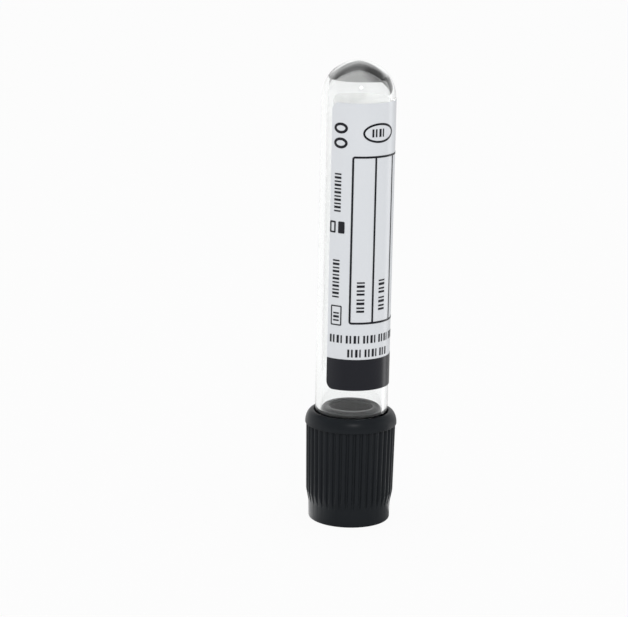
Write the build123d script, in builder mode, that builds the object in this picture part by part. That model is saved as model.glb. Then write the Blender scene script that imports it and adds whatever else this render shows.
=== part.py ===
from build123d import *
import os
from math import cos, degrees, radians, sin, tan

# Blood collection tube, 13 x 75 mm: a round-bottomed glass tube with a wrap-round paper
# label, closed by a ribbed push-on cap that is snapped over a rubber stopper.
# The tube stands upside down on its cap. The origin is the centre of the cap's end face
# and +Z runs up the tube to its round bottom. Lengths are in millimetres, angles in
# degrees; the side that carries the printed form looks towards -Y.

# Glass tube
TUBE_DIAMETER = 13.0
TUBE_LENGTH = 75.0          # mouth to the tip of the round bottom
GLASS_WALL = 0.95
TIP_GLASS = 0.5             # glass at the tip, where the bore ends in a blunt cone
BORE_ROUND_TURN = 33.5      # how far up the bore's round end goes before that cone, degrees
MOUTH_ROUND = 0.35          # fire-polished rim

# Cap
CAP_HEIGHT = 20.0
END_PLATE = 1.6             # the closed end, which the stopper's head sits on
NEEDLE_HOLE_DIAMETER = 8.0
NEEDLE_HOLE_BEVEL = 0.25
TUBE_ENTRY_CLEARANCE = 0.2  # glass to the cap's bore, all round
CAP_WALL = 0.6              # wall at the closed end
WALL_DRAFT = 1.24           # outward lean of the wall, degrees
FOOT_HEIGHT = 3.0           # the plain band at the closed end
FOOT_EDGE_ROUND = 0.3
RIB_COUNT = 40
RIB_HALF_WIDTH = 0.42       # a rib is an eight-sided bar that lies half sunk in the wall
RIB_RAMP = 2.2              # height over which a rib rises out of the foot band
RIB_PROUD_FOOT = 0.39       # a rib's back above the wall, at the top of its ramp
RIB_PROUD_COLLAR = 0.32     # and under the collar
COLLAR_PROUD = 0.2          # the collar outside the ribs
COLLAR_HEIGHT = 2.35        # the collar and its rounded shoulder together
COLLAR_BAND = 0.15          # straight part of the collar below the shoulder
LIP_THICKNESS = 0.2         # the cap's wall where it ends round the glass
BEAD_PROUD = 0.3            # snap bead inside the cap's bore
BEAD_HEIGHT = 1.2
BEAD_LAND = 0.4             # the bead's flat inner face
BEAD_LEVEL = 4.4            # bead above the end plate
GATE_RECESS_DIAMETER = 1.4
GATE_RECESS_DEPTH = 0.4
GATE_STUB_DIAMETER = 0.5
GATE_STUB_SUNK = 0.1        # the stub stays this far below the end face

# Stopper
HEAD_THICKNESS = 6.4        # rubber between the end plate and the tube's mouth
HEAD_CLEARANCE = 0.05       # head to the cap's bore, and bead to its groove
HEAD_BEVEL = 0.3
DIMPLE_RIM = 0.5            # rubber that shows inside the needle hole, round the dimple
DIMPLE_DEPTH = 3.0
DIMPLE_BEVEL = 0.6
PLUG_LENGTH = 12.9
PLUG_CLEARANCE = 0.03       # sealing rings to the glass
RING_COUNT = 3
RING_PROUD = 0.12
RING_WIDTH = 1.3
RING_LAND = 0.7             # the ring's flat outer face
PLUG_END_BEVEL = 0.5
PLUG_END_LAND = 1.0         # flat end of the plug, round the recess
RECESS_TAPER = 1.5          # how much narrower the recess is at its floor, each side
RECESS_DEPTH = 8.0
RECESS_BEVEL = 1.0

# Label
PAPER_THICKNESS = 0.1
ADHESIVE = 0.02
LABEL_WIDTH = 31.6          # measured round the tube
LABEL_CORNER = 1.4
LABEL_ABOVE_CAP = 5.2       # bare glass between the cap and the label
LABEL_BELOW_DOME = 0.2
LABEL_EDGE_ANGLE = -43.5    # left edge, counted from the front, + to the right

# Print on the label
INK_THICKNESS = 0.03
INK_SEAT = 0.01
BAND_HEIGHT = 5.65          # solid band along the label's foot
FORM_MARGIN = 4.08          # label's left edge to the form
FORM_ABOVE_BAND = 6.4
FORM_BELOW_TOP = 9.2
COLUMN_COUNT = 3
COLUMN_PITCH = 4.3
FORM_LINE = 0.36
FORM_CORNER = 0.5
OVAL_WIDTH = 6.3
OVAL_HEIGHT = 3.45
OVAL_MARGIN = 9.0           # label's left edge to the oval's middle
OVAL_BELOW_TOP = 5.2

# Worked out from the above
tube_radius = TUBE_DIAMETER / 2
glass_bore_radius = tube_radius - GLASS_WALL
mouth_level = END_PLATE + HEAD_THICKNESS
tip_level = mouth_level + TUBE_LENGTH
dome_level = tip_level - tube_radius
cap_bore_radius = tube_radius + TUBE_ENTRY_CLEARANCE
foot_radius = cap_bore_radius + CAP_WALL
needle_hole_radius = NEEDLE_HOLE_DIAMETER / 2
collar_level = CAP_HEIGHT - COLLAR_HEIGHT
shoulder_level = collar_level + COLLAR_BAND
ramp_level = FOOT_HEIGHT + RIB_RAMP
bead_level = END_PLATE + BEAD_LEVEL
plug_end = mouth_level + PLUG_LENGTH
paper_inner_radius = tube_radius + ADHESIVE
paper_outer_radius = paper_inner_radius + PAPER_THICKNESS
label_foot = CAP_HEIGHT + LABEL_ABOVE_CAP
label_top = dome_level - LABEL_BELOW_DOME
ink_inner_radius = paper_outer_radius + INK_SEAT
ink_outer_radius = ink_inner_radius + INK_THICKNESS


def wall_radius(level):
    """Outside of the cap's drafted wall, between the ribs."""
    return foot_radius + tan(radians(WALL_DRAFT)) * level


crest_foot_radius = wall_radius(ramp_level) + RIB_PROUD_FOOT
crest_collar_radius = wall_radius(collar_level) + RIB_PROUD_COLLAR
collar_radius = crest_collar_radius + COLLAR_PROUD
lip_radius = cap_bore_radius + LIP_THICKNESS


def ring_levels():
    """Heights of the sealing rings, spaced evenly along the plug."""
    pitch = PLUG_LENGTH / (RING_COUNT + 1)
    return [mouth_level + pitch * (i + 1) for i in range(RING_COUNT)]


def azimuth(across):
    """Angle about +Z, from +X, of a place that far round the tube from the label's left edge."""
    return LABEL_EDGE_ANGLE - 90 + degrees(across / paper_outer_radius)


def curved_field(inner, outer, left, right, level):
    """Plan of a thin field that lies round the tube, between two places across the label."""
    with BuildSketch(Plane.XY.offset(level)) as field:
        with BuildLine():
            face_side = CenterArc((0, 0), outer, azimuth(left), azimuth(right) - azimuth(left))
            glass_side = CenterArc((0, 0), inner, azimuth(left), azimuth(right) - azimuth(left))
            Line(glass_side @ 0, face_side @ 0)
            Line(glass_side @ 1, face_side @ 1)
        make_face()
    return field.sketch


def facing_plane(across):
    """Upright plane through the tube's axis, looking square on to a place across the label."""
    turn = radians(azimuth(across))
    return Plane(origin=(0, 0, 0), x_dir=(-sin(turn), cos(turn), 0), z_dir=(cos(turn), sin(turn), 0))


def seen_square(across):
    """Straight width of an arc length that is looked at square on."""
    return sin(across / paper_outer_radius) * paper_outer_radius


def corner_trims(left, right, foot, top, radius):
    """Prisms that round the four corners of a curved field."""
    width = seen_square(radius)
    with BuildPart() as trims:
        for centre, side in ((left + radius, Align.MAX), (right - radius, Align.MIN)):
            for level, end in ((foot + radius, Align.MAX), (top - radius, Align.MIN)):
                with BuildSketch(facing_plane(centre)):
                    with Locations((0, level)):
                        Rectangle(2 * width, 2 * radius, align=(side, end))
                        Ellipse(width, radius, mode=Mode.SUBTRACT)
                extrude(amount=TUBE_DIAMETER)
    return trims.part


# Grip rib: leans with the cap's draft and runs up into the collar. A cone trims its lower
# end, so that it rises gently out of the foot band.
crest_lean = (crest_collar_radius - crest_foot_radius) / (collar_level - ramp_level)
rib_base = Vector(crest_foot_radius - RIB_HALF_WIDTH - crest_lean * RIB_RAMP, 0, FOOT_HEIGHT)
rib_end = Vector(crest_collar_radius - RIB_HALF_WIDTH + crest_lean * COLLAR_BAND, 0, shoulder_level)
with BuildPart() as rib:
    with BuildSketch(Plane(origin=rib_base, x_dir=(0, 1, 0), z_dir=rib_end - rib_base)):
        RegularPolygon(RIB_HALF_WIDTH, 8, major_radius=False, rotation=180 / 8)
    extrude(amount=(rib_end - rib_base).length)
    with BuildSketch(Plane.XZ):
        Polygon(
            (wall_radius(FOOT_HEIGHT), FOOT_HEIGHT),
            (collar_radius, FOOT_HEIGHT),
            (collar_radius, ramp_level),
            (crest_foot_radius, ramp_level),
            align=None,
        )
    revolve(axis=Axis.Z, mode=Mode.SUBTRACT)

# Cap: one moulding. The section gives the end plate with its needle hole, the drafted wall,
# the collar with its rounded shoulder, the bore, and the bead that snaps into the stopper.
with BuildPart() as cap:
    with BuildSketch(Plane.XZ):
        with BuildLine():
            shoulder = EllipticalCenterArc(
                (lip_radius, shoulder_level),
                collar_radius - lip_radius,
                CAP_HEIGHT - shoulder_level,
                start_angle=0,
                arc_size=90,
            )
            foot_edge = CenterArc((foot_radius - FOOT_EDGE_ROUND, FOOT_EDGE_ROUND), FOOT_EDGE_ROUND, -90, 90)
            Polyline(
                shoulder @ 0,
                (collar_radius, collar_level),
                (wall_radius(collar_level), collar_level),
                (wall_radius(FOOT_HEIGHT), FOOT_HEIGHT),
                foot_edge @ 1,
            )
            Polyline(
                foot_edge @ 0,
                (needle_hole_radius + NEEDLE_HOLE_BEVEL, 0),
                (needle_hole_radius, NEEDLE_HOLE_BEVEL),
                (needle_hole_radius, END_PLATE),
                (cap_bore_radius, END_PLATE),
                (cap_bore_radius, bead_level - BEAD_HEIGHT / 2),
                (cap_bore_radius - BEAD_PROUD, bead_level - BEAD_LAND / 2),
                (cap_bore_radius - BEAD_PROUD, bead_level + BEAD_LAND / 2),
                (cap_bore_radius, bead_level + BEAD_HEIGHT / 2),
                (cap_bore_radius, CAP_HEIGHT),
                shoulder @ 1,
            )
        make_face()
    revolve(axis=Axis.Z)

    # Gate mark on the end face: a shallow recess with the stub left by the mould's gate.
    gate_radius = (needle_hole_radius + NEEDLE_HOLE_BEVEL + foot_radius - FOOT_EDGE_ROUND) / 2
    with BuildSketch():
        with Locations((gate_radius, 0)):
            Circle(GATE_RECESS_DIAMETER / 2)
    extrude(amount=GATE_RECESS_DEPTH, mode=Mode.SUBTRACT)
    with BuildSketch(Plane.XY.offset(GATE_STUB_SUNK)):
        with Locations((gate_radius, 0)):
            Circle(GATE_STUB_DIAMETER / 2)
    extrude(amount=GATE_RECESS_DEPTH - GATE_STUB_SUNK)

    with PolarLocations(0, RIB_COUNT):
        add(rib.part)

# Stopper: one rubber moulding. Its head fills the cap's closed end and the tube's mouth
# seats on it; the plug has sealing rings and a recess that thins the septum.
head_radius = cap_bore_radius - HEAD_CLEARANCE
groove_half = BEAD_HEIGHT / 2 + HEAD_CLEARANCE
groove_land_half = BEAD_LAND / 2 + HEAD_CLEARANCE
dimple_radius = needle_hole_radius - DIMPLE_RIM
dimple_floor = END_PLATE + DIMPLE_DEPTH
ring_radius = glass_bore_radius - PLUG_CLEARANCE
plug_radius = ring_radius - RING_PROUD
recess_mouth_radius = plug_radius - PLUG_END_BEVEL - PLUG_END_LAND
recess_floor_radius = recess_mouth_radius - RECESS_TAPER
recess_floor = plug_end - RECESS_DEPTH
with BuildPart() as stopper:
    with BuildSketch(Plane.XZ):
        Polygon(
            (0, dimple_floor),
            (dimple_radius - DIMPLE_BEVEL, dimple_floor),
            (dimple_radius, dimple_floor - DIMPLE_BEVEL),
            (dimple_radius, END_PLATE),
            (head_radius - HEAD_BEVEL, END_PLATE),
            (head_radius, END_PLATE + HEAD_BEVEL),
            (head_radius, bead_level - groove_half),
            (head_radius - BEAD_PROUD, bead_level - groove_land_half),
            (head_radius - BEAD_PROUD, bead_level + groove_land_half),
            (head_radius, bead_level + groove_half),
            (head_radius, mouth_level),
            (plug_radius, mouth_level),
            (plug_radius, plug_end - PLUG_END_BEVEL),
            (plug_radius - PLUG_END_BEVEL, plug_end),
            (recess_mouth_radius, plug_end),
            (recess_floor_radius, recess_floor + RECESS_BEVEL),
            (recess_floor_radius - RECESS_BEVEL, recess_floor),
            (0, recess_floor),
            align=None,
        )
        for level in ring_levels():
            Polygon(
                (recess_mouth_radius, level - RING_WIDTH / 2),
                (plug_radius, level - RING_WIDTH / 2),
                (ring_radius, level - RING_LAND / 2),
                (ring_radius, level + RING_LAND / 2),
                (plug_radius, level + RING_WIDTH / 2),
                (recess_mouth_radius, level + RING_WIDTH / 2),
                align=None,
            )
    revolve(axis=Axis.Z)

# Tube: drawn glass, its mouth fire-polished and its bottom blown round.
with BuildPart() as tube:
    with BuildSketch(Plane.XZ):
        with BuildLine():
            outer_dome = CenterArc((0, dome_level), tube_radius, 0, 90)
            bore_round = CenterArc((0, dome_level), glass_bore_radius, 0, BORE_ROUND_TURN)
            Polyline(outer_dome @ 1, (0, tip_level - TIP_GLASS), bore_round @ 1)
            Polyline(
                bore_round @ 0,
                (glass_bore_radius, mouth_level),
                (tube_radius, mouth_level),
                outer_dome @ 0,
            )
        rim = make_face()
        fillet(rim.vertices().group_by(Axis.Y)[0], MOUTH_ROUND)
    revolve(axis=Axis.Z)

# Label: a paper strip wrapped most of the way round the barrel, corners rounded.
with BuildPart() as label:
    extrude(
        curved_field(paper_inner_radius, paper_outer_radius, 0, LABEL_WIDTH, label_foot),
        amount=label_top - label_foot,
    )
    add(corner_trims(0, LABEL_WIDTH, label_foot, label_top, LABEL_CORNER), mode=Mode.SUBTRACT)

# Oval ring printed above the form: a thin curved field, cut to the ring's outline.
oval_level = label_top - OVAL_BELOW_TOP
oval_half_width = seen_square(OVAL_WIDTH / 2)
with BuildPart() as oval:
    extrude(
        curved_field(
            ink_inner_radius,
            ink_outer_radius,
            OVAL_MARGIN - OVAL_WIDTH,
            OVAL_MARGIN + OVAL_WIDTH,
            oval_level - OVAL_HEIGHT,
        ),
        amount=2 * OVAL_HEIGHT,
    )
    with BuildSketch(facing_plane(OVAL_MARGIN)):
        with Locations((0, oval_level)):
            Ellipse(oval_half_width, OVAL_HEIGHT / 2)
            Ellipse(oval_half_width - FORM_LINE, OVAL_HEIGHT / 2 - FORM_LINE, mode=Mode.SUBTRACT)
    extrude(amount=TUBE_DIAMETER, mode=Mode.INTERSECT)

# The form's columns: what its ruled lines leave bare.
form_foot = label_foot + BAND_HEIGHT + FORM_ABOVE_BAND
form_top = label_top - FORM_BELOW_TOP
form_right = FORM_MARGIN + COLUMN_COUNT * COLUMN_PITCH
column_edges = (
    FORM_MARGIN + FORM_LINE,
    form_right - FORM_LINE,
    form_foot + FORM_LINE,
    form_top - FORM_LINE,
)
with BuildPart() as columns:
    extrude(
        curved_field(ink_inner_radius, ink_outer_radius, *column_edges[:3]),
        amount=column_edges[3] - column_edges[2],
    )
    add(corner_trims(*column_edges, FORM_CORNER - FORM_LINE), mode=Mode.SUBTRACT)
    for column in range(1, COLUMN_COUNT):
        rule = FORM_MARGIN + column * COLUMN_PITCH
        extrude(
            curved_field(
                ink_inner_radius, ink_outer_radius, rule - FORM_LINE / 2, rule + FORM_LINE / 2, form_foot
            ),
            amount=form_top - form_foot,
            mode=Mode.SUBTRACT,
        )

# Label print: the solid foot band, the three-column form and the oval, as thin fields of ink.
with BuildPart() as label_print:
    extrude(
        curved_field(ink_inner_radius, ink_outer_radius, FORM_MARGIN, form_right, form_foot),
        amount=form_top - form_foot,
    )
    add(corner_trims(FORM_MARGIN, form_right, form_foot, form_top, FORM_CORNER), mode=Mode.SUBTRACT)
    add(columns.part, mode=Mode.SUBTRACT)
    add(oval.part)
    extrude(
        curved_field(ink_inner_radius, ink_outer_radius, 0, LABEL_WIDTH, label_foot),
        amount=BAND_HEIGHT,
    )
    add(corner_trims(0, LABEL_WIDTH, label_foot, label_top, LABEL_CORNER), mode=Mode.SUBTRACT)

os.makedirs("parts", exist_ok=True)
for name, piece in [
    ("cap", cap),
    ("stopper", stopper),
    ("tube", tube),
    ("label", label),
    ("label_print", label_print),
]:
    piece.part.label = name
    export_step(piece.part, f"parts/{name}.step")
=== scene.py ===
from math import atan2, cos, pi, radians, sin, sqrt, tan

import bmesh
import bpy
from mathutils import Matrix, Vector


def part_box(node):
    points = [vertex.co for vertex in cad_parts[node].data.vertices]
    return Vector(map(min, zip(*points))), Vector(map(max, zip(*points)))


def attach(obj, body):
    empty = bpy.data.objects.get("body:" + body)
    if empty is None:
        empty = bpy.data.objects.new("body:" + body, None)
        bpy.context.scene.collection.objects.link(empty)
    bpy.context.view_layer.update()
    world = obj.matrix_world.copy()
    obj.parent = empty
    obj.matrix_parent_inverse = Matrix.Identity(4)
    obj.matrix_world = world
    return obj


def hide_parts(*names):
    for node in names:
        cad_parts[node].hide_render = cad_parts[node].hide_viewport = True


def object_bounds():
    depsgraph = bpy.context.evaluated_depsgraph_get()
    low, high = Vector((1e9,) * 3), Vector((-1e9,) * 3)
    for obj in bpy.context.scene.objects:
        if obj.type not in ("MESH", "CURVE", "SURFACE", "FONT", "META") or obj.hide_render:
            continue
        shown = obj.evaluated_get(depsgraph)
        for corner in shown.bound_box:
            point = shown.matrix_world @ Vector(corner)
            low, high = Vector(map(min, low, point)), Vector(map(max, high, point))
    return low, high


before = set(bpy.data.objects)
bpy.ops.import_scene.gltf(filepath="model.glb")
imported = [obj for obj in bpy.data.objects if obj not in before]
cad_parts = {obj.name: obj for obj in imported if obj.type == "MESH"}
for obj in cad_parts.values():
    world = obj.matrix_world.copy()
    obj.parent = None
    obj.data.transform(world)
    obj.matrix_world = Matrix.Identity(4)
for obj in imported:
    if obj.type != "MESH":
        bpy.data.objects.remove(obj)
cad_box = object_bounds()

# ---------------------------------------------------------------------------------------
# Cap: a push-on closure moulded in one piece from black polypropylene. Forty grip ribs rise
# out of a plain foot band and run up into the collar; the bore's bead snaps into the stopper.
# ---------------------------------------------------------------------------------------
cap_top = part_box("cap")[1].z
collar_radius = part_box("cap")[1].x
tube_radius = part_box("tube")[1].x
mouth_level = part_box("tube")[0].z
tip_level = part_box("tube")[1].z
end_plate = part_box("stopper")[0].z
plug_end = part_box("stopper")[1].z

CAP_BORE_RADIUS = 0.0067
FOOT_RADIUS = 0.0073
WALL_DRAFT = radians(1.24)
FOOT_HEIGHT = 0.003
FOOT_EDGE_ROUND = 0.0003
NEEDLE_HOLE_RADIUS = 0.004
NEEDLE_HOLE_ROUND = 0.00025
RIB_COUNT = 40
RIB_HALF_WIDTH = 0.00042
RIB_RAMP = 0.0022
RIB_PROUD_FOOT = 0.00039
RIB_PROUD_COLLAR = 0.00032
RAMP_STEPS = 8
STEPS_PER_RIB = 16
COLLAR_HEIGHT = 0.00235
COLLAR_BAND = 0.00015
COLLAR_EDGE_ROUND = 0.00006
LIP_THICKNESS = 0.0002
LIP_ROUND = 0.00006
BEAD_PROUD = 0.0003
BEAD_HEIGHT = 0.0012
BEAD_ROUND = 0.0003
BEAD_ABOVE_PLATE = 0.0044
GATE_RADIUS = 0.005625          # the gate mark's distance from the axis
GATE_RECESS_RADIUS = 0.0007
GATE_RECESS_DEPTH = 0.0004
GATE_STUB_RADIUS = 0.00025
GATE_STUB_SUNK = 0.0001
ALL_THE_WAY = "all the way"     # a corner rounded as far as its neighbours
NEARLY = 0.000001
SHARP_EDGE = radians(38)


def turned(outline, steps, closed=False):
    """Spins a section once about the tube's axis. Each corner of the section is its radius,
    its level and, where it is rounded, the rounding and the number of segments."""
    mesh = bmesh.new()
    corners = [mesh.verts.new((corner[0], 0, corner[1])) for corner in outline]
    followers = corners[1:] + corners[:1] if closed else corners[1:]
    for corner, follower in zip(corners, followers):
        mesh.edges.new((corner, follower))
    for corner, (_, _, *rounding) in zip(corners, outline):
        if rounding:
            full = rounding[0] == ALL_THE_WAY
            bmesh.ops.bevel(
                mesh,
                geom=[corner],
                affect="VERTICES",
                offset=100 if full else rounding[0],
                offset_type="PERCENT" if full else "OFFSET",
                segments=rounding[1],
                profile=0.5,
                material=-1,
            )
    bmesh.ops.remove_doubles(mesh, verts=mesh.verts, dist=NEARLY)
    bmesh.ops.spin(
        mesh,
        geom=mesh.verts[:] + mesh.edges[:],
        axis=(0, 0, 1),
        angle=2 * pi,
        steps=steps,
        use_merge=True,
    )
    bmesh.ops.remove_doubles(mesh, verts=mesh.verts, dist=NEARLY)
    bmesh.ops.recalc_face_normals(mesh, faces=mesh.faces)
    return mesh


def shown(name, mesh, material):
    """Makes an object of a finished mesh, smooth but for its real edges."""
    data = bpy.data.meshes.new(name)
    mesh.to_mesh(data)
    mesh.free()
    data.shade_smooth()
    data.set_sharp_from_angle(angle=SHARP_EDGE)
    data.materials.append(material)
    piece = bpy.data.objects.new(name, data)
    bpy.context.scene.collection.objects.link(piece)
    return piece


def wall_radius(level):
    """Outside of the cap's drafted wall, between the ribs."""
    return FOOT_RADIUS + tan(WALL_DRAFT) * level


class Shade:
    """A node's output in a material. Arithmetic on it adds Math nodes, and node() adds any
    other: its kind, its settings, then the values or links of its sockets."""

    def __init__(self, socket):
        self.socket = socket

    def node(self, kind, settings, sockets, output=0):
        tree = self.socket.id_data
        made = tree.nodes.new("ShaderNode" + kind)
        for name, value in settings.items():
            if name == "stops":
                elements = made.color_ramp.elements
                while len(elements) < len(value):
                    elements.new(1)
                for element, (place, tone) in zip(elements, value):
                    element.position = place
                    element.color = (tone, tone, tone, 1)
            else:
                setattr(made, name, value)
        for name, value in sockets.items():
            if isinstance(value, Shade):
                tree.links.new(value.socket, made.inputs[name])
            else:
                made.inputs[name].default_value = value
        return Shade(made.outputs[output]) if made.outputs else None

    def math(self, operation, first, second):
        return self.node("Math", {"operation": operation}, {0: first, 1: second})

    def __add__(self, other):
        return self.math("ADD", self, other)

    def __sub__(self, other):
        return self.math("SUBTRACT", self, other)

    def __rsub__(self, other):
        return self.math("SUBTRACT", other, self)

    def __mul__(self, other):
        return self.math("MULTIPLY", self, other)

    __radd__ = __add__
    __rmul__ = __mul__

    def between(self, low, high):
        """Goes from low to high as this goes from 0 to 1."""
        return self * (high - low) + low

    def ramp(self, *stops):
        return self.node("ValToRGB", {"stops": stops}, {"Fac": self})

    def blend(self, first, second):
        """Mixes two colours, this being the share of the second."""
        return self.node("Mix", {"data_type": "RGBA"}, {0: self, 6: first, 7: second}, output=2)

    def noise(self, scale, detail=2.0, stretch=(1, 1, 1)):
        """Noise at this place; a stretch above 1 in a direction makes it finer that way."""
        place = self.node("Mapping", {"vector_type": "POINT"}, {"Vector": self, "Scale": stretch})
        return place.node("TexNoise", {}, {"Vector": place, "Scale": scale, "Detail": detail})

    def along(self, axis):
        """One coordinate of this place or direction."""
        return self.node("SeparateXYZ", {}, {"Vector": self}, output=axis)

    def bump(self, height, strength):
        """A surface whose relief this is."""
        return self.node("Bump", {}, {"Height": self, "Distance": height, "Strength": strength})


def colour(red, green, blue):
    return (red, green, blue, 1)


def new_finish(name):
    """An empty material, and the place on the object that its patterns are worked out from."""
    material = bpy.data.materials.new(name)
    material.use_nodes = True
    material.node_tree.nodes.clear()
    coordinates = material.node_tree.nodes.new("ShaderNodeTexCoord")
    return material, Shade(coordinates.outputs["Object"])


def surfaced(material, place, sockets):
    """Gives a material its shader, with the constants and the worked-out values it is given."""
    shader = place.node("BsdfPrincipled", {}, sockets)
    place.node("OutputMaterial", {"target": "ALL"}, {"Surface": shader})


collar_level = cap_top - COLLAR_HEIGHT
ramp_level = FOOT_HEIGHT + RIB_RAMP
bead_level = end_plate + BEAD_ABOVE_PLATE
lip_radius = CAP_BORE_RADIUS + LIP_THICKNESS
ramp_levels = [FOOT_HEIGHT + RIB_RAMP * step / RAMP_STEPS for step in range(RAMP_STEPS + 1)]
cap_mesh = turned(
    [
        (FOOT_RADIUS, 0, FOOT_EDGE_ROUND, 5),
        *[(wall_radius(level), level) for level in ramp_levels],
        (wall_radius(collar_level), collar_level),
        (collar_radius, collar_level, COLLAR_EDGE_ROUND, 3),
        (collar_radius, collar_level + COLLAR_BAND),
        (collar_radius, cap_top, ALL_THE_WAY, 14),
        (lip_radius, cap_top),
        (CAP_BORE_RADIUS, cap_top, LIP_ROUND, 3),
        (CAP_BORE_RADIUS, bead_level + BEAD_HEIGHT / 2),
        (CAP_BORE_RADIUS - BEAD_PROUD, bead_level, BEAD_ROUND, 4),
        (CAP_BORE_RADIUS, bead_level - BEAD_HEIGHT / 2),
        (CAP_BORE_RADIUS, end_plate),
        (NEEDLE_HOLE_RADIUS, end_plate),
        (NEEDLE_HOLE_RADIUS, 0, NEEDLE_HOLE_ROUND, 4),
    ],
    steps=RIB_COUNT * STEPS_PER_RIB,
    closed=True,
)

# The ribs: round-backed bars half sunk in the wall, which fade out into the foot band.
rib_turn = 2 * pi / RIB_COUNT
for corner in cap_mesh.verts:
    level, radius = corner.co.z, corner.co.xy.length
    on_wall = abs(radius - wall_radius(level)) < NEARLY
    if on_wall and FOOT_HEIGHT - NEARLY < level < collar_level + NEARLY:
        turn = atan2(corner.co.y, corner.co.x) / rib_turn
        aside = abs(turn - round(turn)) * rib_turn * radius
        run = max(0, level - ramp_level) / (collar_level - ramp_level)
        proud = RIB_PROUD_FOOT + (RIB_PROUD_COLLAR - RIB_PROUD_FOOT) * run
        back = sqrt(max(0, RIB_HALF_WIDTH**2 - aside**2)) - (RIB_HALF_WIDTH - proud)
        ramp = RIB_PROUD_FOOT * (level - FOOT_HEIGHT) / RIB_RAMP
        corner.co.xy *= (radius + max(0, min(back, ramp))) / radius

cap_plastic, place = new_finish("cap_plastic")
flow = place.noise(260, 3, (1, 1, 0.25))
moulded_skin = place.noise(9000, 2)
scuffs = place.noise(700, 6, (1, 1, 0.2)).ramp((0.6, 0.0), (0.78, 1.0))
surfaced(
    cap_plastic,
    place,
    {
        "Base Color": (scuffs * 0.5 + flow * 0.3).blend(
            colour(0.0125, 0.0148, 0.0175), colour(0.0205, 0.0235, 0.0270)
        ),
        "Roughness": flow.between(0.28, 0.38) + scuffs * 0.08,
        "IOR": 1.46,
        "Specular IOR Level": 0.14,
        "Normal": (moulded_skin + scuffs * 0.6).bump(0.00002, 0.35),
    },
)
cap = shown("ribbed_cap", cap_mesh, cap_plastic)

# The gate mark: a shallow recess in the end face, with the stub that the mould's gate leaves.
gate_mesh = turned(
    [
        (0, -GATE_RECESS_DEPTH),
        (GATE_RECESS_RADIUS, -GATE_RECESS_DEPTH),
        (GATE_RECESS_RADIUS, GATE_RECESS_DEPTH, GATE_STUB_SUNK, 3),
        (GATE_STUB_RADIUS, GATE_RECESS_DEPTH),
        (GATE_STUB_RADIUS, GATE_STUB_SUNK),
        (0, GATE_STUB_SUNK),
    ],
    steps=32,
)
bmesh.ops.translate(gate_mesh, verts=gate_mesh.verts, vec=(GATE_RADIUS, 0, 0))
gate_cutter = shown("gate_cutter", gate_mesh, cap_plastic)
gate_cut = cap.modifiers.new("gate_mark", "BOOLEAN")
gate_cut.operation = "DIFFERENCE"
gate_cut.solver = "EXACT"
gate_cut.object = gate_cutter
bpy.context.view_layer.update()
cut_cap = bpy.data.meshes.new_from_object(cap.evaluated_get(bpy.context.evaluated_depsgraph_get()))
cap.modifiers.clear()
cap.data = cut_cap
cap.data.set_sharp_from_angle(angle=SHARP_EDGE)
bpy.data.objects.remove(gate_cutter)
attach(cap, "closure")
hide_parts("cap")

# ---------------------------------------------------------------------------------------
# Stopper: one moulding of grey-black butyl rubber. Its head fills the cap's closed end, the
# plug seals in the tube with three rings, and dimple and recess thin the wall for a needle.
# ---------------------------------------------------------------------------------------
HEAD_CLEARANCE = 0.00005
HEAD_ROUND = 0.0003
DIMPLE_RADIUS = 0.0035
DIMPLE_DEPTH = 0.003
DIMPLE_ROUND = 0.0006
DIMPLE_LIP_ROUND = 0.0002
GLASS_BORE_RADIUS = 0.00555
PLUG_CLEARANCE = 0.00003
RING_COUNT = 3
RING_PROUD = 0.00012
RING_WIDTH = 0.0013
RING_ROUND = 0.0003
PLUG_END_ROUND = 0.0005
PLUG_END_LAND = 0.001
RECESS_LIP_ROUND = 0.00025
RECESS_TAPER = 0.0015
RECESS_DEPTH = 0.008
RECESS_ROUND = 0.001
POLISHED_DEPTH = 0.0006         # how far down the polish of the plug's end fades out
POLISH = 0.75                   # how much of the rubber's roughness it takes away

head_radius = CAP_BORE_RADIUS - HEAD_CLEARANCE
groove_half = BEAD_HEIGHT / 2 + HEAD_CLEARANCE
ring_radius = GLASS_BORE_RADIUS - PLUG_CLEARANCE
plug_radius = ring_radius - RING_PROUD
ring_pitch = (plug_end - mouth_level) / (RING_COUNT + 1)
recess_mouth_radius = plug_radius - PLUG_END_ROUND - PLUG_END_LAND
recess_floor_radius = recess_mouth_radius - RECESS_TAPER
sealing_rings = []
for ring in range(RING_COUNT):
    ring_level = mouth_level + ring_pitch * (ring + 1)
    sealing_rings += [
        (plug_radius, ring_level - RING_WIDTH / 2),
        (ring_radius, ring_level - RING_WIDTH / 4, RING_ROUND / 2, 3),
        (ring_radius, ring_level + RING_WIDTH / 4, RING_ROUND / 2, 3),
        (plug_radius, ring_level + RING_WIDTH / 2),
    ]
stopper_mesh = turned(
    [
        (0, end_plate + DIMPLE_DEPTH),
        (DIMPLE_RADIUS, end_plate + DIMPLE_DEPTH, DIMPLE_ROUND, 6),
        (DIMPLE_RADIUS, end_plate, DIMPLE_LIP_ROUND, 3),
        (head_radius, end_plate, HEAD_ROUND, 4),
        (head_radius, bead_level - groove_half),
        (head_radius - BEAD_PROUD, bead_level, BEAD_ROUND, 4),
        (head_radius, bead_level + groove_half),
        (head_radius, mouth_level),
        (plug_radius, mouth_level),
        *sealing_rings,
        (plug_radius, plug_end, PLUG_END_ROUND, 6),
        (recess_mouth_radius, plug_end, RECESS_LIP_ROUND, 4),
        (recess_floor_radius, plug_end - RECESS_DEPTH, RECESS_ROUND, 6),
        (0, plug_end - RECESS_DEPTH),
    ],
    steps=128,
)
stopper_rubber, place = new_finish("stopper_rubber")
bloom = place.noise(900, 4)
rubber_grain = place.noise(14000, 3)
above_dull = place.along("Z") - (plug_end - POLISHED_DEPTH)
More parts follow.
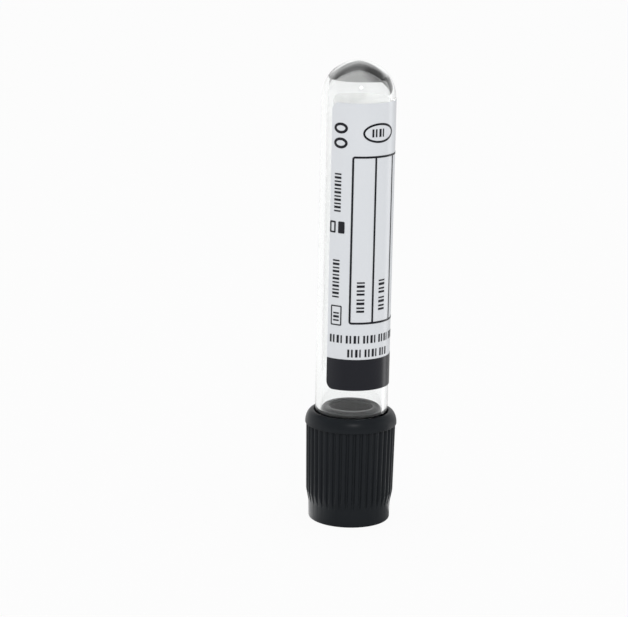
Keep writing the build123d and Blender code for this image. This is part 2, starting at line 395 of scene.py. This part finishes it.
polished = (above_dull * (1 / POLISHED_DEPTH)).ramp((0.0, 0.0), (0.5, 1.0))
surfaced(
    stopper_rubber,
    place,
    {
        "Base Color": bloom.blend(colour(0.0025, 0.003, 0.0034), colour(0.0055, 0.0064, 0.007)),
        "Roughness": bloom.between(0.5, 0.68) * (1 - polished * POLISH),
        "IOR": 1.5,
        "Normal": (rubber_grain + bloom).bump(0.00002, 0.3),
    },
)
stopper = shown("rubber_stopper", stopper_mesh, stopper_rubber)
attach(stopper, "closure")
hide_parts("stopper")

# ---------------------------------------------------------------------------------------
# Tube: clear drawn glass. The mouth, inside the cap, is fire-polished, and the other end is
# blown to a round bottom, inside which the bore ends in a blunt cone.
# ---------------------------------------------------------------------------------------
TIP_GLASS = 0.0005              # between the cone's point and the tip
BORE_ROUND_TURN = radians(33.5)  # how far the bore turns in, concentric, before the cone
BORE_ROUND_STEPS = 16
MOUTH_ROUND = 0.00035
HOLD = 0.0005                   # plain rings beside the roundings keep the barrel's shine true

dome_level = tip_level - tube_radius
bore_round = [
    (
        GLASS_BORE_RADIUS * cos(BORE_ROUND_TURN * step / BORE_ROUND_STEPS),
        dome_level + GLASS_BORE_RADIUS * sin(BORE_ROUND_TURN * step / BORE_ROUND_STEPS),
    )
    for step in range(BORE_ROUND_STEPS + 1)
]
tube_mesh = turned(
    [
        (0, tip_level),
        (tube_radius, tip_level, ALL_THE_WAY, 36),
        (tube_radius, dome_level),
        (tube_radius, dome_level - HOLD),
        (tube_radius, mouth_level + HOLD),
        (tube_radius, mouth_level, MOUTH_ROUND, 5),
        (GLASS_BORE_RADIUS, mouth_level, MOUTH_ROUND, 5),
        (GLASS_BORE_RADIUS, mouth_level + HOLD),
        (GLASS_BORE_RADIUS, dome_level - HOLD),
        *bore_round,
        (0, tip_level - TIP_GLASS),
    ],
    steps=160,
)
tube_glass, place = new_finish("tube_glass")
drawing_lines = place.noise(420, 2, (1, 1, 0.03))
surfaced(
    tube_glass,
    place,
    {
        "Base Color": drawing_lines.blend(colour(0.980, 0.990, 0.988), colour(0.995, 1.0, 0.998)),
        "Roughness": 0.0,
        "IOR": 1.5,
        "Transmission Weight": 1.0,
        "Normal": drawing_lines.bump(0.000006, 0.15),
    },
)
tube = shown("glass_tube", tube_mesh, tube_glass)
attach(tube, "labelled_tube")
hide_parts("tube")

# ---------------------------------------------------------------------------------------
# Label: a coated paper strip with rounded corners, glued round the barrel so that a strip of
# bare glass is left to look in through.
# ---------------------------------------------------------------------------------------
label_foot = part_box("label")[0].z
label_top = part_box("label")[1].z
LABEL_WIDTH = 0.0316            # round the tube
LABEL_CORNER = 0.0014
LABEL_EDGE_ANGLE = radians(-43.5)
ADHESIVE = 0.00002
PAPER_THICKNESS = 0.0001
SLICE_WIDTH = 0.0004

paper_inner_radius = tube_radius + ADHESIVE
paper_outer_radius = paper_inner_radius + PAPER_THICKNESS


def flat_field(mesh, left, right, foot, top, rounding=0, line=0):
    """Adds a flat field to a sheet laid out in the XZ plane: X is the distance round the tube
    from the label's left edge, Z the level. With a line width, only its outline is left."""
    lay = (
        Matrix.Translation(((left + right) / 2, 0, (foot + top) / 2))
        @ Matrix.Diagonal((right - left, 1, top - foot, 1))
        @ Matrix.Rotation(pi / 2, 4, "X")
    )
    corners = bmesh.ops.create_grid(mesh, x_segments=1, y_segments=1, size=0.5, matrix=lay)["verts"]
    face = corners[0].link_faces[0]
    if rounding:
        made = bmesh.ops.bevel(
            mesh,
            geom=corners,
            affect="VERTICES",
            offset=rounding,
            offset_type="OFFSET",
            segments=6,
            profile=0.5,
            material=-1,
        )
        face = made["verts"][0].link_faces[0]
    outlined(mesh, face, line)


def outlined(mesh, face, line):
    """Leaves only a line along the inside of a face's edge, if a line width is given."""
    if line:
        bmesh.ops.inset_individual(mesh, faces=[face], thickness=line, use_even_offset=True)
        bmesh.ops.delete(mesh, geom=[face], context="FACES")


def wrapped(mesh, inner, outer):
    """Gives a flat sheet its thickness and rolls it round the tube, between two radii."""
    left = min(corner.co.x for corner in mesh.verts)
    right = max(corner.co.x for corner in mesh.verts)
    slices = int((right - left) / SLICE_WIDTH)
    for cut in range(1, slices):
        bmesh.ops.bisect_plane(
            mesh,
            geom=mesh.verts[:] + mesh.edges[:] + mesh.faces[:],
            plane_co=(left + (right - left) * cut / slices, 0, 0),
            plane_no=(1, 0, 0),
            dist=NEARLY,
        )
    raised = bmesh.ops.extrude_face_region(mesh, geom=mesh.faces[:], use_keep_orig=True)["geom"]
    for item in raised:
        if isinstance(item, bmesh.types.BMVert):
            item.co.y = outer - inner
    for corner in mesh.verts:
        radius = inner + corner.co.y
        turn = LABEL_EDGE_ANGLE + corner.co.x / paper_outer_radius
        corner.co.xy = (radius * sin(turn), -radius * cos(turn))
    bmesh.ops.recalc_face_normals(mesh, faces=mesh.faces)
    return mesh


label_sheet = bmesh.new()
flat_field(label_sheet, 0, LABEL_WIDTH, label_foot, label_top, LABEL_CORNER)
label_mesh = wrapped(label_sheet, paper_inner_radius, paper_outer_radius)
label_paper, place = new_finish("label_paper")
fibres = place.noise(5200, 4, (1, 1, 0.45))
cloudiness = place.noise(150, 3)
paper_middle = (paper_inner_radius + paper_outer_radius) / 2
across, back = place.along("X"), place.along("Y")
radius_squared = across * across + back * back
printed_side = radius_squared.math("GREATER_THAN", radius_squared, paper_middle**2)
paper_tone = cloudiness * 0.6 + fibres * 0.4
surfaced(
    label_paper,
    place,
    {
        "Base Color": printed_side.blend(
            paper_tone.blend(colour(0.81, 0.80, 0.80), colour(0.85, 0.84, 0.835)),
            paper_tone.blend(colour(0.735, 0.76, 0.795), colour(0.79, 0.81, 0.84)),
        ),
        "Roughness": cloudiness.between(0.2, 0.3),
        "IOR": 1.5,
        "Normal": (fibres + cloudiness * 2).bump(0.000006, 0.5),
    },
)
label = shown("paper_label", label_mesh, label_paper)
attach(label, "labelled_tube")
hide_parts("label")

# ---------------------------------------------------------------------------------------
# Label print: blue-black ink. A solid band along the foot, the ruled form to write on, the
# oval for the fill volume, and plain marks in the places of words, dates and symbols.
# ---------------------------------------------------------------------------------------
INK_SEAT = 0.00001
INK_THICKNESS = 0.00003
BAND_HEIGHT = 0.00565
FORM_LEFT = 0.00408
FORM_ABOVE_BAND = 0.0064
FORM_BELOW_TOP = 0.0092
COLUMN_COUNT = 3
COLUMN_PITCH = 0.0043
FORM_LINE = 0.00036
FORM_CORNER = 0.0005
OVAL_WIDTH = 0.0063
OVAL_HEIGHT = 0.00345
OVAL_MIDDLE = 0.009
OVAL_BELOW_TOP = 0.0052
SIGN_RING_LEVELS = (0.0693, 0.0719)
SIGN_RING_MIDDLE = 0.0019
SIGN_RING_WIDTH = 0.0026
SIGN_RING_HEIGHT = 0.0019
SIGN_RING_LINE = 0.00046
SIGN_CORNER = 0.0002
UPWARD = "up the tube"
ROUND_THE_TUBE = "round the tube"
FINE = (0.00026, 0.00034, 0.0004, 0.0003)
PLAIN = (0.00036, 0.0003, 0.0003, 0.00042, 0.00044, 0.0003, 0.00026, 0.0007)


def ring(mesh, across, level, width, height, line):
    """Adds a round or oval line to a flat sheet, by its middle and its outer size."""
    lay = (
        Matrix.Translation((across, 0, level))
        @ Matrix.Diagonal((width / 2, 1, height / 2, 1))
        @ Matrix.Rotation(pi / 2, 4, "X")
    )
    made = bmesh.ops.create_circle(mesh, cap_ends=True, radius=1, segments=56, matrix=lay)
    outlined(mesh, made["verts"][0].link_faces[0], line)


def strokes(mesh, left, right, foot, top, runs, rhythm):
    """Fills a line of writing's place with plain strokes. The rhythm is a cycle of stroke and
    gap widths; runs says which way the line of writing goes."""
    start, end = (foot, top) if runs == UPWARD else (left, right)
    step = 0
    while start + rhythm[step % len(rhythm)] <= end:
        width = rhythm[step % len(rhythm)]
        if step % 2 == 0:
            if runs == UPWARD:
                flat_field(mesh, left, right, start, start + width)
            else:
                flat_field(mesh, start, start + width, foot, top)
        start += width
        step += 1


ink_sheet = bmesh.new()
form_foot = label_foot + BAND_HEIGHT + FORM_ABOVE_BAND
form_top = label_top - FORM_BELOW_TOP
form_right = FORM_LEFT + COLUMN_COUNT * COLUMN_PITCH
oval_level = label_top - OVAL_BELOW_TOP
flat_field(ink_sheet, FORM_LEFT, form_right, form_foot, form_top, FORM_CORNER, FORM_LINE)
for column in range(1, COLUMN_COUNT):
    rule = FORM_LEFT + column * COLUMN_PITCH
    flat_field(
        ink_sheet,
        rule - FORM_LINE / 2,
        rule + FORM_LINE / 2,
        form_foot + FORM_LINE,
        form_top - FORM_LINE,
    )
ring(ink_sheet, OVAL_MIDDLE, oval_level, OVAL_WIDTH, OVAL_HEIGHT, FORM_LINE)

# The rings, frames and squares that stand for signs: left, right, foot, top, and for the
# frames and squares the corners' rounding and the line (0 where the square is solid).
for level in SIGN_RING_LEVELS:
    ring(ink_sheet, SIGN_RING_MIDDLE, level, SIGN_RING_WIDTH, SIGN_RING_HEIGHT, SIGN_RING_LINE)
for left, right, foot, top, rounding, line in (
    (0.0001, 0.0013, 0.0534, 0.0555, SIGN_CORNER, 0.0003),
    (0.0018, 0.0030, 0.0534, 0.0555, SIGN_CORNER, 0),
    (0.0007, 0.0028, 0.0369, 0.0405, SIGN_CORNER, 0.00022),
    (0.0172, 0.0187, 0.0686, 0.0702, 0, 0.00026),
    (0.0193, 0.0201, 0.0675, 0.0683, 0, 0),
    (0.0193, 0.0201, 0.0316, 0.0324, 0, 0),
):
    flat_field(ink_sheet, left, right, foot, top, rounding, line)

# The strokes that stand for lines of writing, none of them a letter or a figure: left, right,
# foot and top of the line, first the fine ones and then the plain ones.
for left, right, foot, top in (
    (0.0009, 0.0022, 0.0572, 0.0644),
    (0.0009, 0.0022, 0.0419, 0.0494),
    (0.0012, 0.0023, 0.0377, 0.0398),
):
    strokes(ink_sheet, left, right, foot, top, UPWARD, FINE)
for left, right, foot, top, runs in (
    (0.0054, 0.0068, 0.0394, 0.0458, UPWARD),
    (0.0096, 0.0110, 0.0396, 0.0461, UPWARD),
    (0.0172, 0.0187, 0.0706, 0.0733, UPWARD),
    (0.0075, 0.0105, oval_level - 0.0007, oval_level + 0.0007, ROUND_THE_TUBE),
    (0.0006, 0.0150, 0.0338, 0.0352, ROUND_THE_TUBE),
    (0.0040, 0.0122, 0.0313, 0.0327, ROUND_THE_TUBE),
):
    strokes(ink_sheet, left, right, foot, top, runs, PLAIN)

# The foot band has the label's own rounded corners below and a straight edge above.
band_sheet = bmesh.new()
flat_field(band_sheet, 0, LABEL_WIDTH, label_foot, label_top, LABEL_CORNER)
bmesh.ops.bisect_plane(
    band_sheet,
    geom=band_sheet.verts[:] + band_sheet.edges[:] + band_sheet.faces[:],
    plane_co=(0, 0, label_foot + BAND_HEIGHT),
    plane_no=(0, 0, 1),
    clear_outer=True,
)
band_data = bpy.data.meshes.new("foot_band")
band_sheet.to_mesh(band_data)
band_sheet.free()
ink_sheet.from_mesh(band_data)
bpy.data.meshes.remove(band_data)

ink_inner_radius = paper_outer_radius + INK_SEAT
ink_mesh = wrapped(ink_sheet, ink_inner_radius, ink_inner_radius + INK_THICKNESS)
print_ink, place = new_finish("print_ink")
coverage = place.noise(3000, 4)
press_mottle = place.noise(240, 3)
surfaced(
    print_ink,
    place,
    {
        "Base Color": (coverage * 0.5 + press_mottle * 0.5).blend(
            colour(0.0062, 0.0068, 0.0115), colour(0.0102, 0.0110, 0.0165)
        ),
        "Roughness": press_mottle.between(0.2, 0.3),
        "IOR": 1.5,
        "Specular IOR Level": 0.3,
        "Normal": coverage.bump(0.000006, 0.5),
    },
)
label_print = shown("printed_marks", ink_mesh, print_ink)
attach(label_print, "labelled_tube")
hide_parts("label_print")

# ---------------------------------------------------------------------------------------
# Bench: a plain white sheet that runs far back, with only a faint shadow left on it. For
# reflections only, it is painted bright at the left and in one streak behind to the right, and
# dark elsewhere: a painted reflection that lays a sheen on the cap's foot and on the glass at the
# left, and a streak on the cap's right side. It also feeds the light thrown about inside the tube.
# ---------------------------------------------------------------------------------------
BENCH_SIZE = 6.0
BENCH_GREY = 0.6                # the sheet's own tone, under its shadow
BENCH_WHITE = 1.0
SHINE_WHITE = 2.0               # the painted reflection's brightness
TUBE_LIGHT = 5.0                # what it gives to the inside of the tube
SHADOW_SHARE = 0.06             # how much of the sheet's real shading shows
SHINE_REACH = 0.2               # how far out its painted reflection is set

# Shares of the painted reflection, by distance in SHINE_REACH, and by bearing: 0.25 is to the
# left, 0.5 is behind the tube and 0.75 is to the right.
SHINE_OUTWARD = ((0.07, 1.0), (0.12, 0.1), (0.4, 0.1), (0.6, 0.45))
SHINE_LEFT = ((0.08, 0.0), (0.22, 1.0), (0.47, 1.0), (0.51, 0.0))
SHINE_STREAK = ((0.65, 0.0), (0.665, 1.0), (0.695, 1.0), (0.71, 0.0))


def ray_kinds(place):
    """Which rays come straight from the eye, which have just gone through the glass, and
    which have been scattered by a surface before."""
    depth = place.node("LightPath", {}, {}, output="Diffuse Depth")
    return (
        place.node("LightPath", {}, {}, output="Is Camera Ray"),
        place.node("LightPath", {}, {}, output="Is Transmission Ray"),
        depth.math("MINIMUM", depth, 1),
    )


bench_mesh = bmesh.new()
bmesh.ops.create_grid(bench_mesh, x_segments=1, y_segments=1, size=BENCH_SIZE / 2)
bench_sheet, place = new_finish("bench_sheet")
seen, through_glass, scattered = ray_kinds(place)
looked_at = seen + through_glass
mirrored = (1 - looked_at) * (1 - scattered)
right, back = place.along("X"), place.along("Y")
bearing = right.math("ARCTAN2", right, back) * (0.5 / pi) + 0.5
distance = place.node("VectorMath", {"operation": "LENGTH"}, {0: place}, output=1)
# Painted reflection: places on the sheet that only reflections see as bright, at the left near the
# cap and far off, and in a streak behind to the right.
outward = (distance * (1 / SHINE_REACH)).ramp(*SHINE_OUTWARD)
shine = bearing.ramp(*SHINE_LEFT) * outward + bearing.ramp(*SHINE_STREAK)
bright = (scattered * through_glass).between(BENCH_WHITE, TUBE_LIGHT)
bright += mirrored * (SHINE_WHITE - BENCH_WHITE)
glowing = place.node("Emission", {}, {"Color": colour(1, 1, 1), "Strength": bright})
grey = colour(BENCH_GREY, BENCH_GREY, BENCH_GREY)
shaded = place.node("BsdfDiffuse", {}, {"Color": grey})
# Glow: the white sheet for the eye and through the glass, and the painted reflection for what
# shines.
glow_share = looked_at * (1 - SHADOW_SHARE) + mirrored * shine
mixed = place.node("MixShader", {}, {0: glow_share, 1: shaded, 2: glowing})
place.node("OutputMaterial", {"target": "ALL"}, {"Surface": mixed})
bench = shown("bench", bench_mesh, bench_sheet)

# ---------------------------------------------------------------------------------------
# Light: an even white room for the eye and for plain light. What the glass and the black
# plastic show of it is grey, and darker overhead, behind the camera and, through the glass, to
# the right. A soft key lamp stands at the front.
# ---------------------------------------------------------------------------------------
ROOM_LIGHT = 0.9
ROOM_WHITE = 0.985

# The room's brightness by height (0 level, 1 overhead), by depth (0 behind the camera, 1 behind
# the tube) and by side (0 left, 1 right).
MIRRORED_BY_HEIGHT = ((0.0, 0.95), (0.45, 0.95), (0.6, 0.12), (1.0, 0.3))
MIRRORED_BY_DEPTH = ((0.3, 0.25), (0.55, 1.0))
GLASS_BY_HEIGHT = ((0.15, 1.0), (0.2, 0.46), (0.36, 0.42), (0.46, 0.22), (0.6, 0.1), (0.8, 0.2))
GLASS_BY_SIDE = ((0.52, 1.0), (0.58, 0.15))

KEY_POWER = 2
KEY_SIZE = 0.14
KEY_DISTANCE = 1.0
KEY_TURN = radians(8)           # from the front, to the right
KEY_ELEVATION = radians(37)

world = bpy.data.worlds.new("room")
bpy.context.scene.world = world
world.use_nodes = True
world.node_tree.nodes.clear()
direction = Shade(world.node_tree.nodes.new("ShaderNodeTexCoord").outputs["Generated"])
height = direction.along("Z")
sideways = direction.along("X") * 0.5 + 0.5
far = direction.along("Y") * 0.5 + 0.5
mirrored_room = height.ramp(*MIRRORED_BY_HEIGHT) * far.ramp(*MIRRORED_BY_DEPTH)
glass_room = height.ramp(*GLASS_BY_HEIGHT) * sideways.ramp(*GLASS_BY_SIDE)
seen, through_glass, scattered = ray_kinds(direction)
looked_into = through_glass * glass_room + (1 - through_glass) * mirrored_room
room_light = through_glass.between(ROOM_LIGHT, TUBE_LIGHT)
plain = scattered * room_light + (1 - scattered) * looked_into
strength = seen * ROOM_WHITE + (1 - seen) * plain
sky = direction.node("Background", {}, {"Color": colour(1, 1, 1), "Strength": strength})
direction.node("OutputWorld", {"target": "ALL"}, {"Surface": sky})

key_light = bpy.data.lights.new("key_lamp", "AREA")
key_light.energy = KEY_POWER
key_light.shape = "DISK"
key_light.size = KEY_SIZE
towards_key = Vector(
    (
        cos(KEY_ELEVATION) * sin(KEY_TURN),
        -cos(KEY_ELEVATION) * cos(KEY_TURN),
        sin(KEY_ELEVATION),
    )
)
key_lamp = bpy.data.objects.new("key_lamp", key_light)
key_lamp.location = (cad_box[0] + cad_box[1]) / 2 + towards_key * KEY_DISTANCE
key_lamp.rotation_euler = towards_key.to_track_quat("Z", "Y").to_euler()
bpy.context.scene.collection.objects.link(key_lamp)

# ---------------------------------------------------------------------------------------
# Camera: a long lens, a little above the tube. It looks down on it and is rolled slightly, so
# that the tube leans.
# ---------------------------------------------------------------------------------------
LENS = 143.3                    # millimetres, as is the sensor
SENSOR_WIDTH = 36
FARTHEST_SEEN = 20
CAMERA_PLACE = (-0.00702, -0.4315, 0.1428)
PITCH = radians(-13.6)
ROLL = radians(1.17)

camera_data = bpy.data.cameras.new("camera")
camera_data.lens = LENS
camera_data.sensor_width = SENSOR_WIDTH
camera_data.clip_end = FARTHEST_SEEN
camera = bpy.data.objects.new("camera", camera_data)
bpy.context.scene.collection.objects.link(camera)
camera.matrix_world = (
    Matrix.Translation(CAMERA_PLACE)
    @ Matrix.Rotation(pi / 2 + PITCH, 4, "X")
    @ Matrix.Rotation(ROLL, 4, "Z")
)
bpy.context.scene.camera = camera
bpy.context.scene.view_settings.view_transform = "Standard"
